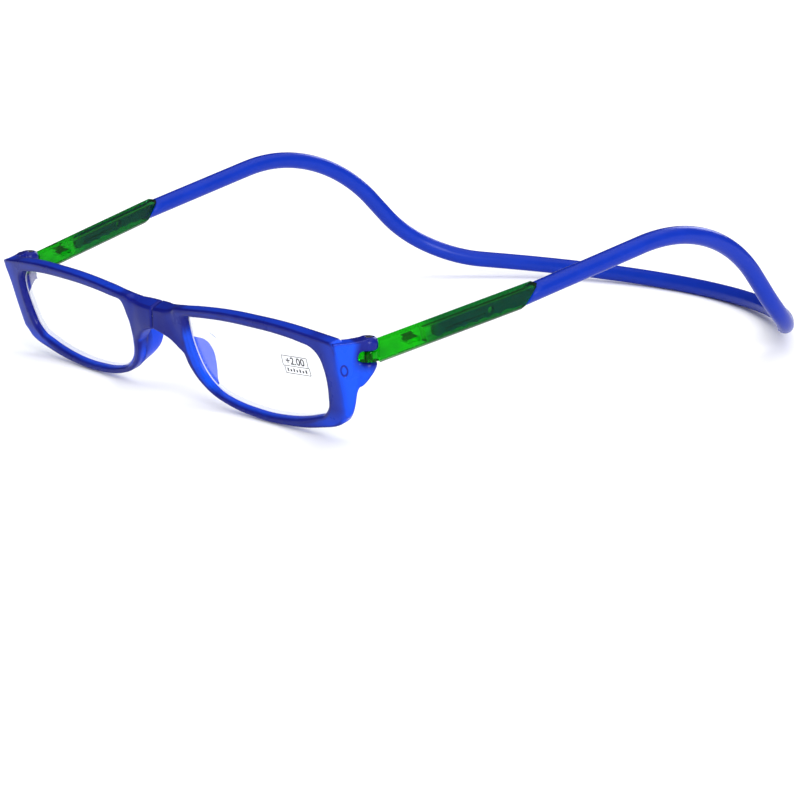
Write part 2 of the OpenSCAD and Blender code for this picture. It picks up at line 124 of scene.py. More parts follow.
def blend(add, share, a, b):
    """A colour from a to b, by the share."""
    mixed = add("Mix", {"Factor": share, "A": a, "B": b}, data_type="RGBA")
    return next(s for s in mixed.outputs if s.type == "RGBA")


def bumps(add, height, strength, distance):
    """The way that a finely bumped surface faces."""
    values = {"Height": height, "Strength": strength, "Distance": distance}
    return add("Bump", values).outputs["Normal"]


def end_with(add, share, first, second):
    """Ends a material with a share of the second shader over the first."""
    mixed = add("MixShader", {"Fac": share, 1: first.outputs["BSDF"], 2: second.outputs["BSDF"]})
    add("OutputMaterial", {"Surface": mixed.outputs["Shader"]})


# %% White table
sheet, hair = 4, 2e-5
sheet_corners = [(x * sheet, y * sheet, -hair) for x, y in ((-1, -1), (1, -1), (1, 1), (-1, 1))]
table_mesh = bpy.data.meshes.new("table")
table_mesh.from_pydata(sheet_corners, [], [(0, 1, 2, 3)])
table = placed("table", table_mesh)
paper_white, add = new_material("paper_white")
matt = add("BsdfDiffuse", {"Color": (0.93, 0.93, 0.95, 1)})
add("OutputMaterial", {"Surface": matt.outputs["BSDF"]})
table_mesh.materials.append(paper_white)
print("table is", 2 * sheet, "m wide")

# %% [markdown]
# ## Light
#
# Frosted plastic has no sharp reflections, so it lives from soft light. A white room fills
# all sides. Sun lamps with a wide disc give the light a direction: one from the right
# rounds the arms, one from above lays the soft shadow, and a weak one from behind lights
# the top edges. They shine evenly over the whole table, where a softbox made from an area
# lamp would fall off towards the far arm. For reflections the room is dim, as in a studio
# whose walls are dark behind the lamps. A bright one would lay a milky veil over the satin
# plastic.

# %% Soft studio light
room = bpy.data.worlds.new("room")
bpy.context.scene.world = room
room.use_nodes = True
sky = room.node_tree.nodes["Background"]
sky.inputs["Color"].default_value = (0.97, 0.98, 1, 1)
add = adder(room.node_tree)
ray = add("LightPath").outputs
seen = add("Math", {0: ray["Is Camera Ray"], 1: ray["Is Transmission Ray"]}, operation="MAXIMUM")
level = add("Math", {0: seen.outputs[0], 1: 0.5, 2: 0.5}, operation="MULTIPLY_ADD")
dim = add("Math", {0: ray["Is Glossy Ray"], 1: -0.85, 2: 1.0}, operation="MULTIPLY_ADD")
strength = add("Math", {0: level.outputs[0], 1: dim.outputs[0]}, operation="MULTIPLY")
room.node_tree.links.new(strength.outputs[0], sky.inputs["Strength"])


def soft_lamp(name, towards, strength, spread):
    """A sun lamp with a wide disc, shining in one direction."""
    lamp = placed(name, bpy.data.lights.new(name, "SUN"))
    lamp.rotation_euler = Vector(towards).to_track_quat("-Z", "Y").to_euler()
    lamp.data.energy = strength
    lamp.data.angle = radians(spread)


soft_lamp("key", (-0.95, 0.3, -0.38), 2.6, 30)
soft_lamp("top", (-0.1, -0.15, -1), 1.5, 75)
soft_lamp("back light", (0.35, -0.8, -0.4), 0.9, 24)

# %% [markdown]
# ## Building in millimetres
#
# Moulds are drawn in millimetres, so the shapes below are too. One helper turns points
# and faces into a piece, and another skins a row of rings, which is how a lofted
# plastic part is drawn in a drawing office.

# %% Helpers for solids
def solid(name, points, faces):
    """A piece from points in millimetres."""
    mesh = bpy.data.meshes.new(name)
    mesh.from_pydata([Vector(p) * MM for p in points], [], faces)
    mesh.validate()
    return placed(name, mesh)


def outward(piece):
    """Turns all faces of a closed piece to look out."""
    work = bmesh.new()
    work.from_mesh(piece.data)
    bmesh.ops.recalc_face_normals(work, faces=work.faces)
    work.to_mesh(piece.data)
    work.free()
    return piece


def quads(n, m, across, along):
    """Faces between m rows of n points, so many across the rows and along them."""
    return [
        (j * n + i, j * n + (i + 1) % n, (j + 1) % m * n + (i + 1) % n, (j + 1) % m * n + i)
        for j in range(along)
        for i in range(across)
    ]


def skin(name, rings, closed=False):
    """A loft through rings of the same number of points."""
    n, m = len(rings[0]), len(rings)
    faces = quads(n, m, n, m if closed else m - 1)
    if not closed:
        faces += [tuple(range(n))[::-1], tuple(range((m - 1) * n, m * n))]
    return outward(solid(name, [p for ring in rings for p in ring], faces))


def wrapped(name, rows):
    """A piece from rows that stand round a middle, capped at both ends."""
    n, m = len(rows[0]), len(rows)
    faces = quads(n, m, n - 1, m)
    faces += [tuple(j * n for j in range(m)), tuple(j * n + n - 1 for j in range(m))]
    return outward(solid(name, [p for row in rows for p in row], faces))


def circle(middle, radius, u, v, sides):
    """Points round a middle, in the plane of u and v."""
    turns = [2 * pi * i / sides for i in range(sides)]
    return [middle + radius * (cos(w) * u + sin(w) * v) for w in turns]


def rod(name, a, b, radius, sides=64):
    """A round rod from a to b in millimetres."""
    across = (b - a).orthogonal().normalized()
    up = (b - a).normalized().cross(across)
    return skin(name, [circle(p, radius, across, up, sides) for p in (a, b)])


# %% Helpers for modifiers
def shown_mesh(piece):
    """What a piece shows, with its modifiers or its curve, as plain mesh."""
    depsgraph = bpy.context.evaluated_depsgraph_get()
    return bpy.data.meshes.new_from_object(piece.evaluated_get(depsgraph))


def apply_all(piece):
    """Turns a piece's modifiers into plain mesh."""
    mesh = shown_mesh(piece)
    piece.modifiers.clear()
    old = piece.data
    piece.data = mesh
    bpy.data.meshes.remove(old)
    mesh.name = piece.name


def boolean(piece, tool, operation="DIFFERENCE"):
    """Cuts or intersects a piece with a tool and throws the tool away."""
    cut = piece.modifiers.new("cut", "BOOLEAN")
    cut.object, cut.operation, cut.solver = tool, operation, "EXACT"
    apply_all(piece)
    bpy.data.objects.remove(tool)


def shade_smooth(piece, angle=180):
    """Smooth shading, with creases kept above the angle."""
    piece.data.shade_smooth()
    if angle < 180:
        piece.data.set_sharp_from_angle(angle=radians(angle))
    return piece


# %% [markdown]
# ## Half front
#
# Each half front is one moulding: a rim round the lens, half of the bridge, a nose pad fin
# and a hinge wing. A box with holes would look cut from sheet. A real one is drawn as a
# section that runs round the lens opening, so the rim here is a loft between two rounded
# loops, an inner and an outer one. The corner lists give x, height and corner radius. Both
# loops are blurred along their length, or the arcs would look drawn with a compass.

# %% Loops of the rim
front_x = 67.9
opening = [
    (13, 23.7, 1.5), (29, 25.1, 150), (48, 24.75, 130), (61.8, 23.4, 6), (62.2, 14.8, 25),
    (60.6, 8.2, 4), (58.2, 5.5, 4), (49, 2.9, 60), (38, 1.8, 60), (27, 2.4, 40),
    (18.9, 4.3, 12), (14.4, 8.6, 10), (12.3, 15.8, 30),
]
outline = [
    (8, 25.5, 2), (30, 27.55, 150), (50, 27.45, 130), (68, 25.3, 1.5), (67.7, 13.8, 30),
    (66.9, 5.5, 8), (61.5, 3.1, 14), (50, 0.75, 60), (37, 0, 60), (25.5, 0.95, 40),
    (16.5, 3.6, 14), (11.4, 7.7, 12), (8.7, 13.5, 30),
]


def corner_arc(a, b, c, n):
    """Points of the rounded corner b between its neighbours a and c."""
    p, q, o = Vector(a[:2]), Vector(c[:2]), Vector(b[:2])
    u, v = (p - o).normalized(), (q - o).normalized()
    half = acos(u.dot(v)) / 2
    t = min(b[2] / tan(half), 0.48 * min((p - o).length, (q - o).length))
    r = t * tan(half)
    m = o + (u + v).normalized() * r / sin(half)
    start, end = o + u * t - m, o + v * t - m
    first = atan2(start.y, start.x)
    turn = (atan2(end.y, end.x) - first + 3 * pi) % (2 * pi) - pi
    angles = [first + turn * i / (n - 1) for i in range(n)]
    return [m + r * Vector((cos(w), sin(w))) for w in angles]


def rounded_loop(corners, n=22):
    """A closed loop of rounded corners."""
    k = len(corners)
    arcs = [corner_arc(corners[i - 1], corners[i], corners[(i + 1) % k], n) for i in range(k)]
    return [p for arc in arcs for p in arc]


def bell(squares):
    """1 at 0, and falling softly to 0 as the squares grow."""
    return 2.718 ** -squares


def softened(loop, blur, tight, tight_blur, step=0.25, near_range=6):
    """The loop eased over a length of blur, and less near the tight corner."""
    fine = []
    for a, b in zip(loop, loop[1:] + loop[:1]):
        n = max(1, round((b - a).length / step))
        fine += [a.lerp(b, j / n) for j in range(n)]
    eased = []
    for p in loop:
        near = min(1, (p - Vector(tight)).length / near_range)
        width = tight_blur + (blur - tight_blur) * near * near
        centre = min(range(len(fine)), key=lambda j: (fine[j] - p).length_squared)
        reach = int(3 * width / step) + 1
        weights = [(j, bell(0.5 * (j * step / width) ** 2)) for j in range(-reach, reach + 1)]
        total = sum(w for j, w in weights)
        whole = sum((fine[(centre + j) % len(fine)] * w for j, w in weights), Vector((0, 0)))
        eased.append(whole / total)
    return eased


opening_loop = softened(rounded_loop(opening), 1.5, opening[0][:2], 0.4)
outline_loop = softened(rounded_loop(outline), 1.5, outline[3][:2], 0.3)
print("points round a rim:", len(opening_loop))

# %% [markdown]
# The front leans at the top by 15.6 degrees and bows back a little towards the hinges. Both
# are left out while the section is drawn: one matrix leans the whole half, and one small
# function bows it.

# %% Lean and bow of the front
front_y, front_lean = -87.47, 15.6
lean = Matrix.Translation((0, front_y, 0.14)) @ Matrix.Rotation(radians(front_lean), 4, "X")


def bow(x):
    """How far back the front's face lies at x."""
    return 2.5 * (x / front_x) ** 2 - 1.3


def on_front(points):
    """Points in the front (x, depth, height), brought to their place."""
    return [lean @ Vector(p) for p in points]


print("bow from the nose to the hinge:", round(bow(front_x) - bow(0), 2), "mm")

# %% [markdown]
# The section is a list of inner and outer points with their inset and depth. Its front
# edges are small steps and its back edges quarter rounds. Beside the nose the inner front
# edge widens to a soft bevel, as the photograph shows.

# %% Rim
rim_depth, back_round = 3.2, 0.8


def back_edge(side, angles):
    """The section's rounded back edge, on the inner side 0 or the outer side 1."""
    turns = [radians(a) for a in angles]
    return [(side, back_round * (1 - cos(w)), rim_depth - back_round * (1 - sin(w))) for w in turns]


inner_front = [(0, 0, 1), (0, 0.1, 0.55), (0, 0.4, 0.2), (0, 0.9, 0)]
outer_front = [(1, 0.5, 0), (1, 0.15, 0.15), (1, 0, 0.5)]
rim_section = inner_front + outer_front + back_edge(1, (0, 30, 60, 90)) + back_edge(0, (90, 60, 30, 0))


def ramp(value, zero, one):
    """0 on the side of zero, 1 on the side of one, and straight in between."""
    return min(1, max(0, (value - zero) / (one - zero)))


def rim_ring(a, b):
    """The section between the inner point a and the outer point b."""
    across = (b - a).normalized()
    ring = []
    flare = 1 + 1.2 * ramp(a.x, 22, 15) * ramp(a.y, 22.5, 19.5)
    for outer, inset, depth in rim_section:
        if not outer and depth <= 1:
            inset, depth = inset * flare, depth * flare
        p = b - across * inset if outer else a + across * inset
        ring.append((p.x, bow(p.x) + depth, p.y))
    return on_front(ring)


rim = skin("rim", [rim_ring(a, b) for a, b in zip(opening_loop, outline_loop)], closed=True)
print("rim section:", len(rim_section), "points")

# %% [markdown]
# ## Bridge, nose pad and hinge wing
#
# The bridge half swells towards the split, where it holds a magnet. Its first ring is drawn
# in, which leaves the fine groove that marks the split. The nose pad is a fin that grows
# out of the rim and thins to its free edge. Both are lofts through a few sections. A
# smooth curve through the sections keeps the number of them small.

# %% Bridge half
def through(rows, t):
    """A smooth curve through the rows, at t rows from the first."""
    n = len(rows) - 1
    i = min(n - 1, int(t))
    f = t - i
    a, b, c, d = (Vector(rows[k]) for k in (max(0, i - 1), i, i + 1, min(n, i + 2)))
    steady = 2 * b + (c - a) * f
    bend, twist = (2 * a - 5 * b + 4 * c - d) * f * f, (3 * b - a - 3 * c + d) * f ** 3
    return 0.5 * (steady + bend + twist)


bridge_x = [0.15, 5.6, 9.2, 11.2]
bridge_rows = [
    [(-2.3, 19.1), (-1.1, 23.4), (-0.6, 23.9), (2.6, 24.5),
     (3.2, 24), (2.4, 19.1), (1.7, 18.5), (-1.6, 18.5)],
    [(-2, 17.4), (-1.2, 23.7), (-0.7, 24.2), (1.9, 25),
     (2.3, 24.4), (2.2, 17.5), (1.6, 16.9), (-1.4, 16.9)],
    [(-1.5, 14.2), (-1, 24.4), (-0.5, 25), (1.7, 25.4),
     (2.1, 24.8), (2.1, 14.2), (1.6, 13.6), (-1, 13.6)],
    [(-1.3, 13.5), (-1.1, 24.6), (-0.6, 25.2), (1.6, 25.6),
     (2, 25.1), (2, 13.6), (1.6, 13), (-0.9, 13)],
]
split_groove, bridge_steps, bridge_last = 0.4, 24, len(bridge_x) - 1
bridge_rings = []
for k in range(bridge_steps + 1):
    t = bridge_last * k / bridge_steps
    i = min(bridge_last - 1, int(t))
    x = bridge_x[i] + (bridge_x[i + 1] - bridge_x[i]) * (t - i)
    corners = [through([row[j] for row in bridge_rows], t) for j in range(8)]
    if k == 0:
        middle = sum(corners, Vector((0, 0))) / 8
        drawn_in = [p - (p - middle).normalized() * split_groove for p in corners]
        bridge_rings.append(on_front([(x, p.x, p.y) for p in drawn_in]))
        x += split_groove
    bridge_rings.append(on_front([(x, p.x, p.y) for p in corners]))
bridge = skin("bridge", bridge_rings)
magnet_depth, magnet_height, magnet_hole_r = 0.6, 21.4, 1.65
hole_ends = on_front([(x, magnet_depth, magnet_height) for x in (-1, 2)])
boolean(bridge, rod("magnet_hole", *hole_ends, magnet_hole_r))
print("bridge rings:", len(bridge_rings))

# %% Nose pad fin
pad_root = [(9.9, 0.8, 17), (10.2, 0.8, 14.6), (10.6, 0.8, 12), (11.5, 0.8, 9.4),
            (13, 0.8, 7.5), (14.5, 0.8, 6.3), (16, 0.8, 5.5)]
pad_edge = [(9.8, 2.8, 16.8), (10.3, 5.9, 14.7), (10.8, 7.2, 12), (12, 6.7, 9.3),
            (13.6, 5.3, 7.3), (15.2, 3.8, 6.2), (16.9, 2.6, 5.5)]
root_half, middle_half, edge_half = 0.95, 0.52, 0.3
pad_steps, pad_last = 8, len(pad_root) - 1
pad_rings = []
for k in range(pad_last * pad_steps + 1):
    t = k / pad_steps
    r, e = through(pad_root, t), through(pad_edge, t)
    g = through(pad_root, min(pad_last, t + 0.2)) - through(pad_root, max(0, t - 0.2))
    w = Vector((-g.z, 0, g.x)).normalized()
    m = r * 0.25 + e * 0.75
    ring = [r + w * root_half, m + w * middle_half, e + w * edge_half,
            e - w * edge_half, m - w * middle_half, r - w * root_half]
    pad_rings.append(on_front(ring))
pad = skin("pad", pad_rings)
fin_depths = [(Vector(a) - Vector(b)).length for a, b in zip(pad_root, pad_edge)]
print("fin is", round(max(fin_depths), 1), "mm deep")

# %% [markdown]
# The wing carries the hinge. It is a slab that folds back from the rim's outer corner, with
# a rounded barrel at its end. The barrel is slotted for the sleeve's tongue and bored for
# the pin. Turning a half outline on a lathe gives the barrel its domed top.

# %% Hinge wing and barrel
pin = Vector((69.4, front_y + 3.29, 0))
wing_side = [(0.05, 25.2), (1.2, 25), (2.6, 24.7), (4.6, 24.4), (6.5, 24.2), (7.7, 24.2),
             (8.2, 24), (8.2, 16), (7, 15.2), (4.9, 13.6), (3.9, 12.4), (3.3, 10.9),
             (2.9, 9.4), (2.3, 8), (1.4, 6.5), (0.05, 5.6)]
knuckle_side = [(4, 30), (14, 30), (14, 18), (10.6, 17.7),
                (9.7, 17.1), (7, 15.2), (4.9, 13.5), (4, 12.9)]
wing_place = (
    lean
    @ Matrix.Translation((front_x, bow(front_x), 25))
    @ Matrix.Rotation(radians(3.5), 4, "Y")
    @ Matrix.Rotation(radians(-26), 4, "Z")
    @ Matrix.Translation((0, 0, -25))
)


def slab(name, side, inner, outer):
    """A slab along the wing, from its side view in (back, height)."""
    return skin(name, [[wing_place @ Vector((x, y, z)) for y, z in side] for x in (-inner, outer)])


def barrel(name, radius, bottom, top, dome, sides=72):
    """A lathe-turned barrel on the hinge pin, with a domed top."""
    profile = [(0.001, bottom), (radius, bottom)]
    for w in (radians(a) for a in range(0, 91, 10)):
        profile.append((radius - dome + dome * cos(w), top - dome + dome * sin(w)))
    profile.append((0.001, top))
    turns = [2 * pi * i / sides for i in range(sides)]
    rows = [[pin + Vector((r * cos(w), r * sin(w), z)) for r, z in profile] for w in turns]
    return wrapped(name, rows)


def on_pin(name, low, high, radius):
    """A round tool on the hinge pin's axis."""
    return rod(name, pin + Vector((0, 0, low)), pin + Vector((0, 0, high)), radius)


knuckle_r, knuckle_top, knuckle_dome = 2.5, 25.77, 1.5
slot_low, slot_high, slot_r = 20, 22.5, 2.8
bore_low, bore_r, head_low, head_r = 17.6, 0.75, 24.77, 1.25
wing = slab("wing", wing_side, 2.8, 0)
knuckle = barrel("knuckle", knuckle_r, 10, knuckle_top, knuckle_dome)
boolean(knuckle, slab("knuckle_reach", knuckle_side, 9, 4), "INTERSECT")
for part in (wing, knuckle):
    boolean(part, on_pin("slot", slot_low, slot_high, slot_r))
boolean(knuckle, on_pin("bore", bore_low, 40, bore_r))
boolean(knuckle, on_pin("head_bore", head_low, 30, head_r))
print("slot in the barrel:", slot_high - slot_low, "mm high")

# %% [markdown]
# ## One moulding
#
# The five shapes only overlap so far. In the real part they are one body, and every inner
# corner is filled a little by the mould's radius. A voxel remesh melts overlapping closed
# shapes into one skin, and a few rounds of smoothing give all edges that moulded softness.
# Bevels by hand would have to follow every curve where the shapes meet.

# %% Melt the shapes into one half front
def join(name, pieces):
    """Puts the meshes of several pieces into one."""
    work = bmesh.new()
    for piece in pieces:
        work.from_mesh(piece.data)
        bpy.data.objects.remove(piece)
    mesh = bpy.data.meshes.new(name)
    work.to_mesh(mesh)
    work.free()
    return placed(name, mesh)


def melt(piece, voxel, rounds):
    """Voxel remesh, then smoothing."""
    remesh = piece.modifiers.new("melt", "REMESH")
    remesh.mode, remesh.voxel_size = "VOXEL", voxel * MM
    soften = piece.modifiers.new("soften", "SMOOTH")
    soften.factor, soften.iterations = 0.5, rounds
    apply_all(piece)
    return shade_smooth(piece)


half_left = melt(join("half_front_left", [rim, bridge, pad, wing, knuckle]), 0.16, 6)
print("half front:", len(half_left.data.vertices), "points")

# %% [markdown]
# Three places need more than the mould's radius. The lower part of the wing flows out of
# the rim's face with no crease, the bridge flows into the top bar, and its front runs
# smoothly into the rim beside the nose. A weight painted by place keeps the strong smoothing
# there, so the opening, the slot and the fin stay as they are. The last loop keeps the
# lowest points on the table.

# %% Ease the wing and the bridge into the rim
def ease(piece, name, rounds, ramps):
    """Smooths a piece where all ramps along the front's own axes are above 0."""
    group = piece.vertex_groups.new(name=name)
    back = lean.inverted()
    for v in piece.data.vertices:
        place, w = back @ (v.co / MM), 1
        for axis, zero, one in ramps:
            w *= ramp(place[axis], zero, one)
        if w > 0:
            group.add([v.index], min(1, w), "REPLACE")
    soften = piece.modifiers.new(name, "SMOOTH")
    soften.factor, soften.iterations, soften.vertex_group = 0.5, rounds, name
    apply_all(piece)


X, DEPTH, HEIGHT = 0, 1, 2
ease(half_left, "corner", 260, [(HEIGHT, 22.8, 18), (X, 63.6, 65.5)])
ease(half_left, "bridge", 120, [(X, 4.2, 6), (X, 17, 13), (HEIGHT, 20.2, 21.5)])
beside_nose = [(X, 5.5, 7.5), (X, 12, 10.5), (HEIGHT, 24.4, 23), (HEIGHT, 11, 13), (DEPTH, 1.2, 0.2)]
ease(half_left, "nose", 80, beside_nose)
for v in half_left.data.vertices:
    v.co.z = max(v.co.z, 0.0)
shade_smooth(half_left)
print("half front reaches", round(max(v.co.z for v in half_left.data.vertices) / MM, 1), "mm high")

# %% [markdown]
# Frosted plastic glows where it is thin and darkens where it is deep. The render could work
# that out with a scattering volume, but slowly and with noise. Here each point of the
# skin looks inward along its normal and stores how far the other side is. The material
# paints that glow and darkening into its colour as painted light and shade, and it stays
# right from every side. Edges that stand out of the skin get painted shade too.

# %% Measures of the skin
def wall_of(piece, deepest, rounds=0, solid_zones=()):
    """The plastic's depth behind each point, from 0 for thin to 1 for deepest.
    Zones with bores, as (x, z) limits, count as solid, and the rounds blur the steps."""
    mesh = piece.data
    tree = BVHTree.FromPolygons([v.co for v in mesh.vertices], [p.vertices for p in mesh.polygons])
    depths = []
    for v, n in zip(mesh.vertices, mesh.vertex_normals):
        normal = Vector(n.vector)
        hit = tree.ray_cast(v.co - normal * 0.02 * MM, -normal, deepest * MM)
        depths.append(1.0 if hit[3] is None else hit[3] / (deepest * MM))
    depths = numpy.array(depths)
    for low, high in solid_zones:
        inside = [low[0] < abs(v.co.x) < high[0] and low[1] < v.co.z < high[1] for v in mesh.vertices]
        depths[numpy.array(inside)] = 0.9
    return blurred(mesh, depths, rounds)


def blurred(mesh, values, rounds):
    """Values on a mesh's points, averaged with their neighbours so many rounds."""
    pairs = numpy.array([e.vertices for e in mesh.edges])
    first, second, n = pairs[:, 0], pairs[:, 1], len(values)
    count = numpy.bincount(pairs.ravel(), minlength=n)
    for step in range(rounds):
        total = numpy.bincount(first, values[second], n) + numpy.bincount(second, values[first], n)
        values = 0.5 * values + 0.5 * total / count
    return values


def edge_of(piece, rounds=40, height=0.12):
    """How far each point stands out of the smoothed skin, from 0 to 1."""
    mesh = piece.data
    start = numpy.array([v.co for v in mesh.vertices])
    flat = numpy.stack([blurred(mesh, start[:, axis], rounds) for axis in range(3)], 1)
    normals = numpy.array([n.vector for n in mesh.vertex_normals])
    return numpy.clip(((start - flat) * normals).sum(1) / (height * MM), 0, 1)


def store_painted_tone(piece, wall, edge=0.0, painted_light_and_shade=0.0):
    """Stores the tone that the blue plastic reads, from 0 for navy to 1 for bright: a painted glow where
    the wall is thin, painted shade where it is thick and on edges that stand out, and the zones' painted
    light and shade.
    """
    tone = numpy.interp(wall, (0.2, 0.95), (0.75, 0)) - numpy.interp(edge, (0.15, 0.9), (0, 0.5)) + painted_light_and_shade
    layer = piece.data.attributes.new("tone", "FLOAT", "POINT")
    layer.data.foreach_set("value", numpy.clip(tone, 0, 1))
    return tone.mean()


# Round the magnet and pin bores the plastic counts as solid, so their thin walls get no painted glow.
bores = [((0, 0), (0.0026, 0.1)), ((0.0665, 0.0165), (0.073, 0.1))]
wall, edge = wall_of(half_left, 4.0, 60, bores), edge_of(half_left)
print("mean depth of plastic:", round(4.0 * wall.mean(), 1), "mm")

# %% [markdown]
# The tone also gets painted light where the light reaches better: the wing, the corner below
# it, the inner wall beside the nose, the thin fin, faces that look up and the underside of
# the bridge. The hinge gets painted shade, because its two lugs stand behind each other. A
# small oval ring on the wing is the mark of the mould's ejector pin. It is pressed in by
# moving points, since a cut this shallow would leave ragged faces, and painted darker as
# shade in its groove.

# %% Zones of painted light and shade, and the ejector mark
mark_back, mark_height, mark_depth = 1.4, 18.1, 0.18


def oval(y, z):
    """1 on the line of the ejector mark and 0 away from it."""
    r = (((y - mark_back) / 0.75) ** 2 + ((z - mark_height) / 1.25) ** 2) ** 0.5
    return bell(((r - 1) / 0.25) ** 2)


def painted_light_zones(piece):
    """Presses in the mark and gives the painted light and shade that each point's tone gains by its
    place.
    """
    back, wing_back = lean.inverted(), wing_place.inverted()
    painted_light_and_shade = []
    for v, n in zip(piece.data.vertices, piece.data.vertex_normals):
        p, normal = v.co / MM, Vector(n.vector)
        x, depth, height = back @ p
        facing = (back.to_3x3() @ normal).x
        from_pin = ((p.x - pin.x) ** 2 + (p.y - pin.y) ** 2) ** 0.5
        # painted light on the outer corner and wing
        e = 0.2 * ramp(x, 63, 67) + 0.75 * ramp(x, 62.3, 66) * ramp(facing, 0, 0.5)
        # painted light on the corner below the wing
        e += 0.6 * ramp(x, 52, 60) * ramp(height, 8, 4)
        # painted light on the inner wall beside the nose
        e += 0.9 * ramp(facing, 0.08, 0.42) * ramp(x, 19, 15.5) * ramp(height, 22, 18) * ramp(x, 9, 10.5)
        # painted light on faces that look up
        e += 0.2 * ramp(normal.z, 0.5, 0.9)
        # painted glow in the thin fin
        e += 0.9 * ramp(depth, 3.2, 3.8) * ramp(x, 20, 17) * ramp(height, 20, 18)
        # painted light on the underside of the bridge
        painted_under_light = 0.6 * ramp(-facing, 0.2, 0.6) * ramp(-normal.z, 0.1, 0.5)
        e += painted_under_light * ramp(x, 5, 7) * ramp(x, 14, 11) * ramp(height, 18, 16.5)
        # painted shade on the upper lug of the hinge
        e -= 1.3 * ramp(from_pin, 4.6, 2.5) * ramp(p.z, 17.5, 21.5)
        w = wing_back @ p
        if abs(w.x) < 0.7:
            mark = oval(w.y, w.z)
            v.co -= normal * mark_depth * mark * MM
            # painted shade: the ring is also darkened in its pressed-in groove
            e -= mark
        painted_light_and_shade.append(e)
    return numpy.array(painted_light_and_shade)


tone = store_painted_tone(half_left, wall, edge, painted_light_zones(half_left))
print("mean tone of a half front:", round(tone, 2))

# %% [markdown]
# ## Frosted blue
#
# The blue plastic is dyed through, with a satin surface. A plain glossy blue would look
# painted. Most of the colour is a soft base, which runs from a shaded navy to a lit blue by
# the stored tone, so it carries the painted glow and shade. Some light passes through the
# walls, and a thin coat gives the satin glint. Noise at two scales varies the tone and the
# roughness, and a fine bump breaks up the glint.

# %% Blue plastic for the front and the neckband
def frosted_blue(name, shaded, lit, through_share, rough):
    """Satin plastic from the shaded colour to the lit one, by the stored tone of painted light and
    shade.
    """
    material, add = new_material(name)
    stored = add("Attribute", attribute_name="tone").outputs["Fac"]
    cloud, grain = noise(add, 140.0, 3.0), noise(add, 5200.0, 2.0)
    wander = ranged(add, cloud, 0.3, 0.7, -0.06, 0.06)
    tone = add("Math", {0: stored, 1: wander}, operation="ADD", use_clamp=True).outputs["Value"]
    colour = blend(add, tone, shaded, lit)
    satin = ranged(add, cloud, 0.3, 0.7, rough - 0.05, rough + 0.07)
    body = add("BsdfPrincipled", {
        "Base Color": colour, "Roughness": satin, "Normal": bumps(add, grain, 0.12, 0.00002),
        "IOR": 1.46, "Specular IOR Level": 0.3,
        "Coat Weight": 1.0, "Coat Roughness": 0.22, "Coat IOR": 1.14, "Coat Tint": (0.6, 0.65, 0.9, 1),
    })
    end_with(add, through_share, body, add("BsdfTranslucent", {"Color": colour}))
    return material


def set_material(piece, material):
    """Gives a piece one material."""
    piece.data.materials.clear()
    piece.data.materials.append(material)


# Each blue runs from a navy of painted shade to a bright blue of painted light.
front_blue = frosted_blue("front_blue_frosted", (0.014, 0.02, 0.25, 1), (0.012, 0.15, 1, 1), 0.25, 0.3)
band_blue = frosted_blue("band_blue_frosted", (0.006, 0.05, 0.45, 1), (0.008, 0.11, 0.95, 1), 0.2, 0.34)
set_material(half_left, front_blue)
print("blue plastics:", front_blue.name, band_blue.name)

# %% [markdown]
# The right half front is the left one in a mirror.

# %% Two half fronts
def mirrored(piece, name):
    """The other side's twin of a piece."""
    twin = piece.copy()
    twin.data = piece.data.copy()
    twin.name = twin.data.name = name
    bpy.context.scene.collection.objects.link(twin)
    twin.data.transform(Matrix.Scale(-1, 4, (1, 0, 0)))
    twin.data.flip_normals()
    return twin


half_right = mirrored(half_left, "half_front_right")
for half, side in ((half_left, "left"), (half_right, "right")):
    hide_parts("front_" + side)
    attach(half, "half_" + side)
    print(half.name, "rides on half_" + side)

# %% [markdown]
# ## Lenses
#
# A reading lens bulges forward on both faces, and a little more on the front one, so it is
# thickest in the middle. Its edge is ground to a narrow bevel, which is white and matt
# where the lens itself is clear. Clear glass in Blender throws a dark shadow, because light
# paths through it are hard to find, so shadow rays are let through and only the look is
# glass.

# %% Clear lens and its ground edge
def clear_lens(name):
    """Polished glass with faint smears."""
    material, add = new_material(name)
    smear = noise(add, 60.0, 4.0)
    glass = add("BsdfPrincipled", {
        "Base Color": blend(add, smear, (0.985, 0.99, 1, 1), (0.97, 0.98, 1, 1)),
        "Roughness": ranged(add, smear, 0.35, 0.7, 0.01, 0.035),
        "Transmission Weight": 1.0, "IOR": 1.5,
    })
    passing = add("BsdfTransparent", {"Color": (0.95, 0.96, 1, 1)})
    end_with(add, add("LightPath").outputs["Is Shadow Ray"], glass, passing)
    return material


def ground_edge(name):
    """White and matt, with a fine grit."""
    material, add = new_material(name)
    grit = noise(add, 6000.0, 2.0)
    white = blend(add, grit, (0.75, 0.8, 1, 1), (0.98, 0.98, 1, 1))
    matt = {"Base Color": white, "Roughness": 0.45, "Normal": bumps(add, grit, 0.2, 0.00002)}
    end_with(add, 0.4, add("BsdfPrincipled", matt), add("BsdfTranslucent", {"Color": white}))
    return material


clear, ground = clear_lens("lens_clear_polished"), ground_edge("lens_edge_ground")
print("lens materials:", clear.name, ground.name)

# %% [markdown]
# The lens is built as rows that run from its middle over the edge to the middle of its back.
# Each row follows one point of the opening, so the edge fits the rim all the way round.

# %% Domed lens
lens_middle, lens_set = Vector((37.35, 13.9)), 1.9
front_set, front_bulge, back_set, back_bulge = -0.35, 1.3, 0.75, 1
shares = [0.04 + 0.96 * i / 14 for i in range(15)]


def dome(x, share, offset, bulge):
    """Depth of a lens face at x, at a share of the way to the edge."""
    return bow(x) + lens_set + offset - bulge * (1 - share * share)


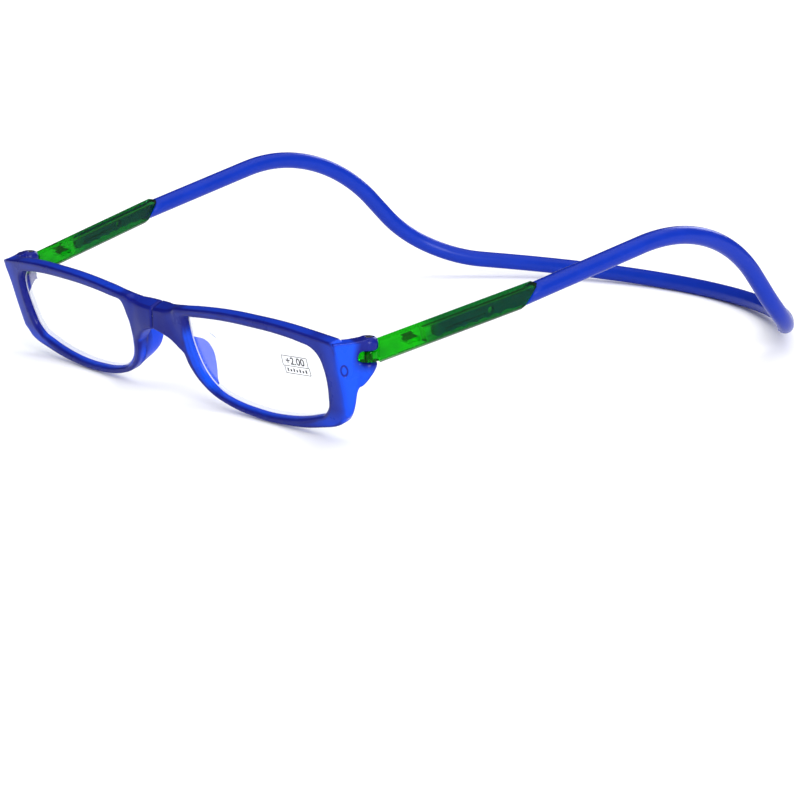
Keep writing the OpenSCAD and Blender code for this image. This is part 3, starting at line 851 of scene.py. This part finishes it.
def lens_row(a, b):
    """One row of the lens, towards the rim's points a and b."""
    across = (b - a).normalized()
    e = a - across * 0.25
    tip = a - across * 0.02
    spread = [(lens_middle + (e - lens_middle) * f, f) for f in shares]
    row = [(p.x, dome(p.x, f, front_set, front_bulge), p.y) for p, f in spread]
    row += [(tip.x, bow(tip.x) + lens_set + bevel, tip.y) for bevel in (-0.05, 0.45)]
    row += [(p.x, dome(p.x, f, back_set, back_bulge), p.y) for p, f in reversed(spread)]
    return on_front(row)


def make_lens(name):
    """A lens with a ground bevel."""
    rows = [lens_row(a, b) for a, b in zip(opening_loop, outline_loop)]
    lens = wrapped(name, rows)
    lens.data.materials.append(clear)
    lens.data.materials.append(ground)
    edge = range(len(shares) - 1, len(shares) + 2)
    for p in lens.data.polygons:
        places = [i % len(rows[0]) for i in p.vertices]
        if len(places) == 4 and min(places) in edge and max(places) - min(places) == 1:
            p.material_index = 1
    return shade_smooth(lens, 25)


lens_left = make_lens("lens_glass_left")
lens_right = mirrored(lens_left, "lens_glass_right")
for lens, side in ((lens_left, "left"), (lens_right, "right")):
    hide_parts("lens_" + side)
    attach(lens, "half_" + side)
print("thickness in the middle:", round(back_set - back_bulge - front_set + front_bulge, 2))

# %% [markdown]
# ## Green sleeves
#
# The sleeve is a hollow bar of clear green plastic with flat faces and narrow
# chamfers. Its sharp, flat look is the opposite of the frosted front, so it isn't melted.
# The measured solid already has the right faces. Only its edges are too perfect: a
# narrow bevel on a copy lets every edge catch a thin line of light.

# %% Frame of an arm
splay, slope, arm_z = radians(8.8), radians(11.51), 21.52


def arm_point(back, up):
    """A point in the sleeve, from its distance behind the pin and its height across."""
    run = back * cos(slope) - up * sin(slope)
    z = arm_z + back * sin(slope) + up * cos(slope)
    return Vector((pin.x + run * sin(splay), pin.y + run * cos(splay), z))


along_arm, across_arm = arm_point(1, 0) - arm_point(0, 0), arm_point(0, 1) - arm_point(0, 0)
out_of_arm = along_arm.cross(across_arm)
arm_axes = Matrix((along_arm, across_arm, out_of_arm)).transposed().to_4x4()
arm_axes.translation = arm_point(0, 0)
print("the arms climb by", round(degrees(slope), 1), "degrees")


# %% Sleeve with fine bevels
def bevelled_copy(node, name, width):
    """A copy of a CAD node with whole flat faces and bevelled edges."""
    piece = placed(name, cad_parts[node].data.copy())
    work = bmesh.new()
    work.from_mesh(piece.data)
    bmesh.ops.remove_doubles(work, verts=work.verts, dist=2e-6)
    bmesh.ops.dissolve_limit(work, angle_limit=radians(1), verts=work.verts, edges=work.edges)
    work.to_mesh(piece.data)
    work.free()
    bevel = piece.modifiers.new("fine edge", "BEVEL")
    bevel.width, bevel.segments, bevel.harden_normals = width * MM, 2, True
    bevel.limit_method, bevel.angle_limit = "ANGLE", radians(28)
    apply_all(piece)
    return piece


def cavity_faces(piece, material_index, back=14, half_height=1.85, half_width=1.7):
    """Gives the cavity's walls their own material and counts them."""
    inward, found = arm_axes.inverted(), 0
    for p in piece.data.polygons:
        places = []
        for i in p.vertices:
            co = piece.data.vertices[i].co / MM
            places.append(inward @ Vector((abs(co.x), co.y, co.z)))
        if all(q.x > back and abs(q.y) < half_height and abs(q.z) < half_width for q in places):
            p.material_index = material_index
            found += 1
    return found


# %% [markdown]
# Clear plastic takes its colour from the way that light goes through it. Here the outer
# faces carry all the green. Towards the rear, where the sleeve is hollow and the blade sits
# behind them, they turn a darker teal: a painted shade of the blade behind. The walls of
# the cavity get a nearly colourless material, or the light would be tinted four times where
# the sleeve is hollow and twice where it is solid.

# %% Both sleeves
def clear_green(name, thin, thick, rear_shade, rough):
    """Clear plastic with streaks, and a painted shade colour towards the rear, behind the solid end."""
    material, add = new_material(name)
    flow, ripple = noise(add, 150.0, 3.0, Distortion=0.8), noise(add, 420.0, 1.0)
    streaked = blend(add, ranged(add, flow, 0.3, 0.7), thick, thin)
    place = add("SeparateXYZ", {"Vector": add("TexCoord").outputs["Object"]})
    # painted shade: behind the solid end the outer faces turn to the darker rear colour
    behind = ranged(add, place.outputs["Y"], -0.0705, -0.066)
    body = add("BsdfPrincipled", {
        "Base Color": blend(add, behind, streaked, rear_shade),
        "Roughness": ranged(add, flow, 0.3, 0.7, rough, rough + 0.06),
        "Normal": bumps(add, ripple, 0.15, 0.0001), "Transmission Weight": 0.96, "IOR": 1.18,
    })
    passing = add("BsdfTransparent", {"Color": (0.35, 0.85, 0.4, 1)})
    shadow = add("LightPath").outputs["Is Shadow Ray"]
    share = add("Math", {0: shadow, 1: 0.75}, operation="MULTIPLY").outputs["Value"]
    end_with(add, share, body, passing)
    return material


# The third colour of the outer faces is the painted shade towards the rear.
sleeve_green = clear_green(
    "sleeve_green_clear", (0.005, 0.5, 0.001, 1), (0.001, 0.2, 0.006, 1), (0.001, 0.13, 0.02, 1), 0.04)
cavity_green = clear_green(
    "sleeve_cavity_clear", (0.85, 0.99, 0.85, 1), (0.7, 0.95, 0.8, 1), (0.8, 0.97, 0.9, 1), 0.02)
for side in ("left", "right"):
    sleeve = bevelled_copy("sleeve_" + side, "sleeve_shell_" + side, 0.12)
    set_material(sleeve, sleeve_green)
    sleeve.data.materials.append(cavity_green)
    found = cavity_faces(sleeve, 1)
    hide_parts("sleeve_" + side)
    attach(sleeve, "arm_" + side)
    print(sleeve.name, len(sleeve.data.polygons), "faces,", found, "of them in the cavity")

# %% [markdown]
# ## Neckband
#
# The neckband is a flexible tube in one sweep. It climbs a little behind the sleeve,
# falls to the table and runs round the back. In plan it is a row of straight parts and
# arcs. In height it is a rise, a crest, a fall and a foot that runs out flat. Keeping
# plan and height apart makes both easy to draw, and a fine tube along them has no kinks.

# %% Path of the band in plan
sleeve_end, lip_gap = 44, 0.3
mouth = arm_point(sleeve_end + lip_gap, 0)
heading, wide_turn, tight_turn = 2.56, 12.3, 32.9
plan_parts = [
    (32.7, 0), (236 * radians(wide_turn), 236), (32.1 * radians(tight_turn), 32.1), (13.7, 0),
]


def go(p, length, radius):
    """Moves a plan point [x, y, heading] along a straight part or an arc."""
    if radius == 0:
        return (p[0] + length * sin(p[2]), p[1] + length * cos(p[2]), p[2])
    a = p[2] - length / radius
    return (p[0] + radius * (cos(a) - cos(p[2])), p[1] + radius * (sin(p[2]) - sin(a)), a)


plan_starts = [(mouth.x, mouth.y, radians(heading))]
for length, radius in plan_parts:
    plan_starts.append(go(plan_starts[-1], length, radius))
rear_turn = radians(90 + heading - wide_turn - tight_turn)
rear_radius = plan_starts[-1][0] / sin(rear_turn)
plan_parts.append((rear_radius * rear_turn, rear_radius))
plan_length = sum(length for length, radius in plan_parts)


def plan(s):
    """Place and heading of the band at plan length s."""
    for start, (length, radius) in zip(plan_starts, plan_parts):
        if s <= length or (length, radius) == plan_parts[-1]:
            return go(start, s, radius)
        s -= length


print("half of the band:", round(plan_length), "mm in plan")

# %% Path of the band in height
rise, fall, tail = radians(11.79), radians(46.8), radians(5.05)
rise_len, crest_r, foot_r, band_r, cad_sides = 35.4, 45.7, 44.2, 2.25, 16
crest_len, foot_len = crest_r * (sin(rise) + sin(fall)), foot_r * (sin(fall) - sin(tail))
rest_z = band_r * cos(pi / cad_sides)
rise_z = mouth.z + rise_len * tan(rise)
crest_z = rise_z + crest_r * (cos(fall) - cos(rise))
drop = crest_z - foot_r * (cos(tail) - cos(fall)) - rest_z
rest_len = plan_length - rise_len - crest_len - foot_len
fall_len = (drop - rest_len * tan(tail) / 2) / (tan(fall) - tan(tail) / 2)
tail_len = rest_len - fall_len
fall_z = crest_z - fall_len * tan(fall)


def height(s):
    """Height and slope of the band at plan length s."""
    if s < rise_len:
        return mouth.z + s * tan(rise), rise
    s -= rise_len
    if s < crest_len:
        a = asin(sin(rise) - s / crest_r)
        return rise_z + crest_r * (cos(a) - cos(rise)), a
    s -= crest_len
    if s < fall_len:
        return crest_z - s * tan(fall), -fall
    s -= fall_len
    if s < foot_len:
        a = asin(sin(fall) - s / foot_r)
        return fall_z - foot_r * (cos(a) - cos(fall)), -a
    t = 1 - (s - foot_len) / tail_len
    return rest_z + tail_len * tan(tail) / 2 * t * t, -atan2(tan(tail) * t, 1)


print("the fall starts", round(crest_z, 1), "mm up")

# %% [markdown]
# The tube starts on the sleeve's slanted mouth, so its first ring is slid along the tube
# until it lies on that slant. The far half is the same row of rings with x turned round.
# The rings are a hair smaller than the measured tube, so that nothing grows past it.

# %% Tube of the band
def band_ring(s, sides=40, share=0.995):
    """Direction of the band and a ring round it, at plan length s."""
    p, (z, rising) = plan(s), height(s)
    along = Vector((sin(p[2]) * cos(rising), cos(p[2]) * cos(rising), sin(rising)))
    out = Vector((cos(p[2]), -sin(p[2]), 0))
    up = out.cross(along)
    return along, circle(Vector((p[0], p[1], z)), band_r * share, out, up, sides)


slant = radians(48)
mouth_normal = (arm_point(cos(slant), -sin(slant)) - arm_point(0, 0)).normalized()
mouth_plane = arm_point(sleeve_end, 0) + mouth_normal * lip_gap
along0, first = band_ring(0)
slid = [p - along0 * ((p - mouth_plane).dot(mouth_normal) / along0.dot(mouth_normal)) for p in first]
lip = [p + along0 * 0.12 for p in slid]
middle = sum(slid, Vector()) / len(slid)
slid = [middle + (p - middle) * 0.93 for p in slid]
after_lip, ring_count = 3, 260
rings = [slid, lip]
for i in range(1, ring_count + 1):
    rings.append(band_ring(after_lip + (plan_length - after_lip) * i / ring_count)[1])
rings += [[Vector((-p.x, p.y, p.z)) for p in ring] for ring in rings[-2::-1]]
band = shade_smooth(skin("band_tube", rings), 60)
# The band's stored tone is painted glow where its wall is thin and painted shade where it is thick.
print("mean tone of the band:", round(store_painted_tone(band, wall_of(band, 4.6)), 2))
set_material(band, band_blue)
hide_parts("neckband")
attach(band, "band")

# %% [markdown]
# ## Toothed blade
#
# The blade is the flat end of the neckband inside the sleeve. Its lower edge is scalloped, so
# the sleeve clicks from tooth to tooth. A flat curve with holes is the quickest way to a
# thin plate like this: Blender fills the outline, thickens it and rounds its edges. The
# holes keep clear of the scallops, because outlines that cross don't fill.

# %% Blade in both sleeves
blade_start, blade_half, blade_out = 17.2, 1.5, 0.76
teeth, tooth_pitch, tooth_start, tooth_depth = 6, 3.4, 18.6, 0.45
hole_back, hole_up, hole_r = 33.2, 0.1, 0.85
flat_half, edge_round = 0.55, 0.1


def blade_outline():
    """Side view of the blade, with its scalloped lower edge."""
    start, end, h = blade_start, sleeve_end, blade_half
    radius = tooth_pitch * 0.9
    lower = []
    for i in range(teeth):
        c = tooth_start + tooth_pitch * (i + 0.5)
        reach = (radius ** 2 - (radius - tooth_depth) ** 2) ** 0.5
        for k in range(13):
            x = c - reach + 2 * reach * k / 12
            lower.append((x, -h - radius + tooth_depth + (radius ** 2 - (x - c) ** 2) ** 0.5))
    tip = [(start, -h + 0.9), (start + 0.6, -h + 0.3), (start + 1.2, -h)]
    root = [(end - 1.5, -h), (end + 1.6, -h + 1.6), (end + 3.2, h - 0.2)]
    return tip + lower + root + [(start + 0.9, h), (start, h - 0.9)]


def drawn_mesh(name, curve):
    """The mesh that a curve or a text draws."""
    drawn = placed(name + "_drawn", curve)
    mesh = shown_mesh(drawn)
    bpy.data.objects.remove(drawn)
    return mesh


def make_blade(name):
    """The blade with its hole and slit, placed in the left sleeve."""
    curve = bpy.data.curves.new(name, "CURVE")
    curve.dimensions, curve.fill_mode = "2D", "BOTH"
    curve.extrude, curve.bevel_depth, curve.bevel_resolution = flat_half * MM, edge_round * MM, 2
    curve.offset = -edge_round * MM
    turns = [-2 * pi * i / 24 for i in range(24)]
    hole = [(hole_back + hole_r * cos(w), hole_up + hole_r * sin(w)) for w in turns]
    slit = [(20.2, -0.4), (20.2, 0), (31.4, 0), (31.4, -0.4)]
    for ring in (blade_outline(), hole, slit):
        spline = curve.splines.new("POLY")
        spline.points.add(len(ring) - 1)
        for point, (x, y) in zip(spline.points, ring):
            point.co = (x * MM, y * MM, 0, 1)
        spline.use_cyclic_u = True
    mesh = drawn_mesh(name, curve)
    place = arm_axes.copy()
    place.translation = (arm_point(0, 0) + out_of_arm * blade_out) * MM
    mesh.transform(place)
    return shade_smooth(placed(name, mesh), 30)


# The blade's blue also runs from painted shade to painted light, by its stored tone.
blade_blue = frosted_blue("blade_blue_frosted", (0.01, 0.12, 0.75, 1), (0.01, 0.22, 0.95, 1), 0.3, 0.3)
blade_left = make_blade("blade_left")
store_painted_tone(blade_left, wall_of(blade_left, 4.6))
set_material(blade_left, blade_blue)
for blade in (blade_left, mirrored(blade_left, "blade_right")):
    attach(blade, "band")
print("teeth on each blade:", teeth)

# %% [markdown]
# ## Pins and magnets
#
# Little of the metal shows: a slotted pin head in each hinge and the magnet's disc in the
# split at the nose. The solids are right as they are, so they only get their metal. Turned
# steel shows fine rings, and plating is smoother with a few dull spots.

# %% Metal parts
def metal(name, colour, rough, rings):
    """Metal with dull spots and turned rings."""
    material, add = new_material(name)
    waves = {"Vector": add("TexCoord").outputs["Object"], "Scale": 900.0, "Distortion": 0.5}
    turned = add("TexWave", waves, wave_type="RINGS", rings_direction="Z").outputs["Fac"]
    spots = noise(add, 1500.0, 3.0)
    body = add("BsdfPrincipled", {
        "Base Color": blend(add, spots, colour, tuple(0.75 * c for c in colour[:3]) + (1,)),
        "Metallic": 1.0, "Roughness": ranged(add, spots, 0.3, 0.7, rough, rough + 0.15),
        "Normal": bumps(add, turned, rings, 0.00001),
    })
    add("OutputMaterial", {"Surface": body.outputs["BSDF"]})
    return material


pin_steel = metal("pin_steel_turned", (0.42, 0.42, 0.46, 1), 0.25, 0.3)
magnet_plating = metal("magnet_plating", (0.62, 0.62, 0.64, 1), 0.2, 0.05)
for side in ("left", "right"):
    set_material(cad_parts["hinge_screw_" + side], pin_steel)
    set_material(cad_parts["magnet_" + side], magnet_plating)
print("metals:", pin_steel.name, magnet_plating.name)

# %% [markdown]
# ## Strength film
#
# New readers carry a thin film on one lens that gives the strength. It holds a plain number
# in a box and a row of short bars. Each point of the printing is dropped onto the dome of
# the lens, because a flat film would float off it at one side.

# %% Film on the near lens
ink, add = new_material("film_ink")
grey = blend(add, noise(add, 3000.0, 2.0), (0.01, 0.01, 0.015, 1), (0.06, 0.06, 0.07, 1))
print_ink = add("BsdfPrincipled", {"Base Color": grey, "Roughness": 0.5})
add("OutputMaterial", {"Surface": print_ink.outputs["BSDF"]})


bar_corners = [
    (-4.5, 2.4, 4.3, 2.6), (-4.5, -0.45, 4.6, -0.25), (-4, -2.6, 4.6, -2.4),
    (-4.6, -0.35, -4.38, 2.5), (4.2, -0.35, 4.42, 2.5),
    (-4.1, -2.5, -3.88, -0.35), (4.5, -2.5, 4.72, -0.35),
]
for k in range(7):
    bar_corners.append((-3.3 + 1.05 * k, -1.95, -2.75 + 1.05 * k, -0.95 - 0.3 * (k % 2)))
film_bars = [[(x0, y0), (x1, y0), (x1, y1), (x0, y1)] for x0, y0, x1, y1 in bar_corners]


def on_lens(x, h, proud):
    """A point just in front of the lens's dome, at x and height in the front."""
    d, best = Vector((x, h)) - lens_middle, 0.0
    for a, b in zip(opening_loop, outline_loop):
        e = a - (b - a).normalized() * 0.08 - lens_middle
        if e.normalized().dot(d.normalized()) > best:
            best, reach = e.normalized().dot(d.normalized()), e.length
    return lean @ Vector((x, dome(x, d.length / reach, front_set, front_bulge) - proud, h))


film_x, film_height, film_turn = 51.9, 17.2, radians(0.5)


def print_on_lens(name, outlines):
    """Flat faces from the film's own outlines, laid on the near lens."""
    points, faces = [], []
    for ring in outlines:
        first = len(points)
        for x, y in ring:
            x, y = 0.93 * x, 0.88 * y
            px = x * cos(film_turn) - y * sin(film_turn)
            py = x * sin(film_turn) + y * cos(film_turn)
            points.append(on_lens(film_x + px, film_height + py, 0.03))
        faces.append(tuple(range(first, len(points))))
    piece = solid(name, points, faces)
    set_material(piece, ink)
    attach(piece, "half_left")


print_on_lens("film_box", film_bars)
print("bars on the film:", len(film_bars))

# %% Number on the film
digits = bpy.data.curves.new("film_number", "FONT")
digits.body, digits.size, digits.align_x, digits.align_y = "+2.00", 2.9 * MM, "CENTER", "CENTER"
digits.offset = 0.06 * MM
flat = drawn_mesh("film_number", digits)
spots = [(v.co.x / MM, v.co.y / MM + 1.05) for v in flat.vertices]
print_on_lens("film_number", [[spots[i] for i in p.vertices] for p in flat.polygons])
print("faces in the number:", len(flat.polygons))
